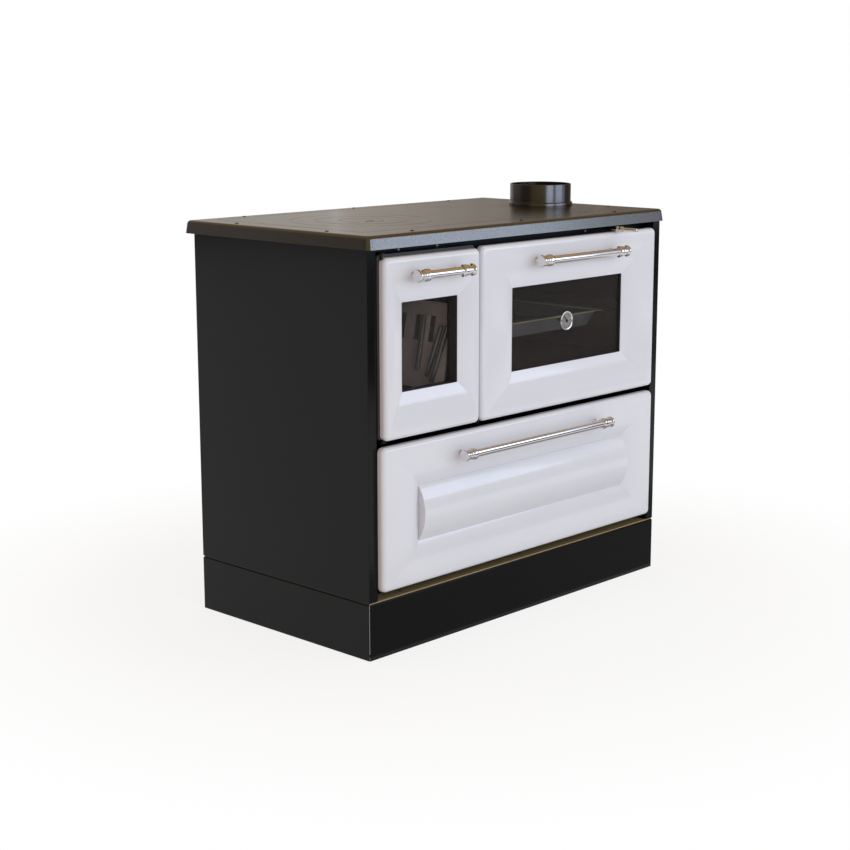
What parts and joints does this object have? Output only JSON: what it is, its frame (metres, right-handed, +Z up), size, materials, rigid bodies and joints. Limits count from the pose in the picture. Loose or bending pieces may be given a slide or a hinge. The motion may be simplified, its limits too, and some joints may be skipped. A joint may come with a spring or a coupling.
{
  "type": "wood cookstove",
  "caption": "Wood-burning kitchen range: black cabinet, iron hob with lift-out rings, glazed fire door, drop-down oven door, fuel drawer, flue collar and damper.",
  "frame": {"origin": "middle of the bounding box, on the floor", "axes": "+Z up, the fronts face -Y, +X to the right seen from the front"},
  "size_m": [0.952, 0.622, 0.9],
  "materials": {
    "black_paint": "satin black paint",
    "black_sheet": "black steel sheet",
    "cast_iron": "fine sanded satin black",
    "white_enamel": "gloss white enamel",
    "chrome": "polished",
    "fire_glass": "clear, slightly smoked",
    "lining_iron": "matt grey-brown casting",
    "oven_enamel": "dark oven enamel",
    "steel": "bare steel",
    "rope_seal": "woven glass rope"
  },
  "bodies": {
    "stove": {"plinth_front": "black_paint", "plinth_back": "black_paint", "plinth_left": "black_paint", "plinth_right": "black_paint", "base_plate": "black_sheet", "side_panel_left": "black_paint", "side_panel_right": "black_paint", "back_panel": "black_sheet", "front_rail_bottom": "black_paint", "front_rail_top": "black_paint", "front_stile_left": "black_paint", "front_stile_middle": "black_paint", "front_stile_right": "black_paint", "cooktop_frame": "cast_iron", "hob_plate": "cast_iron", "flue_collar": "cast_iron", "firebox_casing": "black_sheet", "firebox_back_wall": "black_sheet", "fire_grate": "cast_iron", "lining_right": "lining_iron", "lining_left": "lining_iron", "lining_back": "lining_iron", "lining_rod_1": "steel", "lining_rod_2": "steel", "lining_rod_3": "steel", "ash_pan": "black_sheet", "oven_liner": "oven_enamel", "oven_rail_left": "steel", "oven_rail_right": "steel", "baking_tray": "oven_enamel", "fire_hinge_top": "steel", "fire_hinge_bottom": "steel", "oven_hinge_left": "steel", "oven_hinge_right": "steel", "drawer_runner_left": "steel", "drawer_runner_right": "steel"},
    "fire_door": {"fire_door_front": "white_enamel", "fire_door_frame": "black_paint", "fire_door_glass": "fire_glass", "fire_door_glass_retainer": "black_sheet", "fire_door_seal": "rope_seal", "fire_door_handle": "chrome"},
    "oven_door": {"oven_door_front": "white_enamel", "oven_door_frame": "black_paint", "oven_door_glass": "fire_glass", "oven_door_glass_retainer": "black_sheet", "oven_door_seal": "rope_seal", "oven_door_handle": "chrome", "thermometer_bezel": "chrome"},
    "thermometer_pointer": {"thermometer_needle": "black_sheet"},
    "fuel_drawer": {"drawer_front": "white_enamel", "drawer_panel": "white_enamel", "drawer_tub": "black_sheet", "drawer_handle": "chrome"},
    "damper": {"damper_rod": "chrome", "damper_plate": "cast_iron"},
    "hob_outer": {"hob_ring_outer": "cast_iron"},
    "hob_middle": {"hob_ring_middle": "cast_iron"},
    "hob_centre": {"hob_lid": "cast_iron"}
  },
  "joints": [
    {"name": "fire_door_hinge", "type": "hinge", "parent": "stove", "child": "fire_door", "pos_m": [-0.434, -0.242, 0.627], "axis": [0, 0, -1], "range_deg": [0, 100]},
    {"name": "oven_door_hinge", "type": "hinge", "parent": "stove", "child": "oven_door", "pos_m": [0.14, -0.242, 0.453], "axis": [1, 0, 0], "range_deg": [0, 90]},
    {"name": "thermometer_turn", "type": "hinge", "parent": "oven_door", "child": "thermometer_pointer", "pos_m": [0.13675, -0.2382, 0.626], "axis": [0, 1, 0], "range_deg": [-90, 170]},
    {"name": "fuel_drawer_slide", "type": "slide", "parent": "stove", "child": "fuel_drawer", "axis": [0, -1, 0], "range_m": [0, 0.36]},
    {"name": "damper_slide", "type": "slide", "parent": "stove", "child": "damper", "axis": [0, 1, 0], "range_m": [0, 0.035]},
    {"name": "outer_ring_lift", "type": "slide", "parent": "stove", "child": "hob_outer", "axis": [0, 0, 1], "range_m": [0, 0.08]},
    {"name": "middle_ring_lift", "type": "slide", "parent": "hob_outer", "child": "hob_middle", "axis": [0, 0, 1], "range_m": [0, 0.08]},
    {"name": "centre_lid_lift", "type": "slide", "parent": "hob_middle", "child": "hob_centre", "axis": [0, 0, 1], "range_m": [0, 0.08]}
  ]
}
